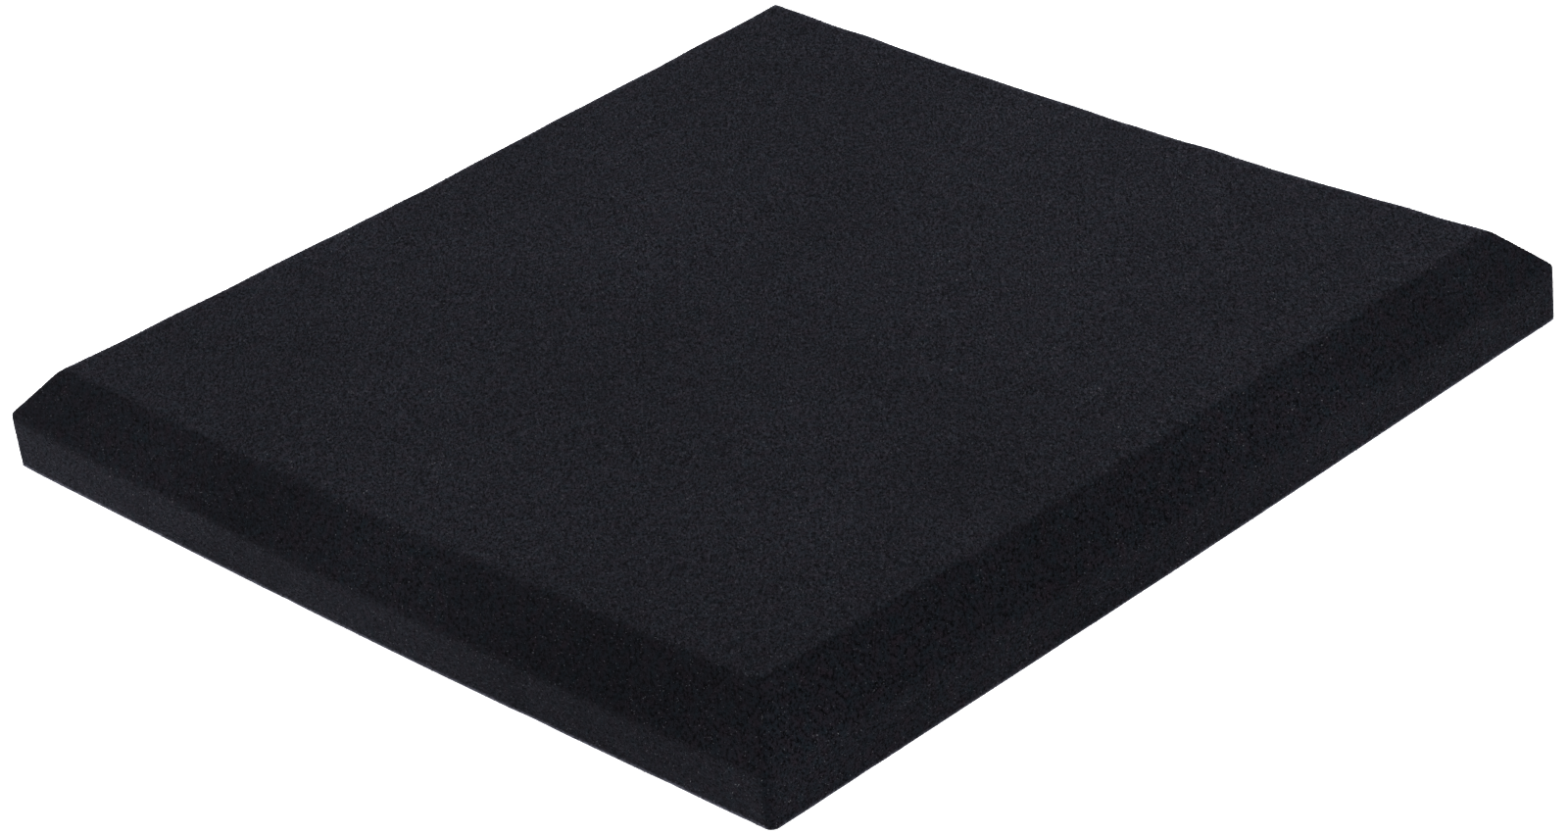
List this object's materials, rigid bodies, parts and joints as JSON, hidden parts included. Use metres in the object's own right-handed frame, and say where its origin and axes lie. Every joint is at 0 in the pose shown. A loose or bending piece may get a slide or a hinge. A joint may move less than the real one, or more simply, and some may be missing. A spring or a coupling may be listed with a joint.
{
  "type": "flocked acoustic foam tile",
  "caption": "Square sound-absorbing foam tile with a flat back, a bevel round its front and a short velvety black flock over the front, bevels and edges.",
  "frame": {"origin": "centre of the flat back face", "axes": "+Z out of the bevelled front, through the thickness; +X and +Y along the sides of the square"},
  "size_m": [0.5, 0.5, 0.048],
  "materials": {
    "foam": "open-cell polyurethane foam, charcoal, matt, fine open pores",
    "flock_adhesive": "thin black elastic adhesive film under the fibres",
    "black_flock": "short velvety flock fibre pile, black with a faint blue cast, soft sheen at grazing angles"
  },
  "bodies": {
    "root": {"foam_core": "foam", "flock_adhesive_coat": "flock_adhesive", "flock_pile_coat": "black_flock"}
  },
  "joints": []
}
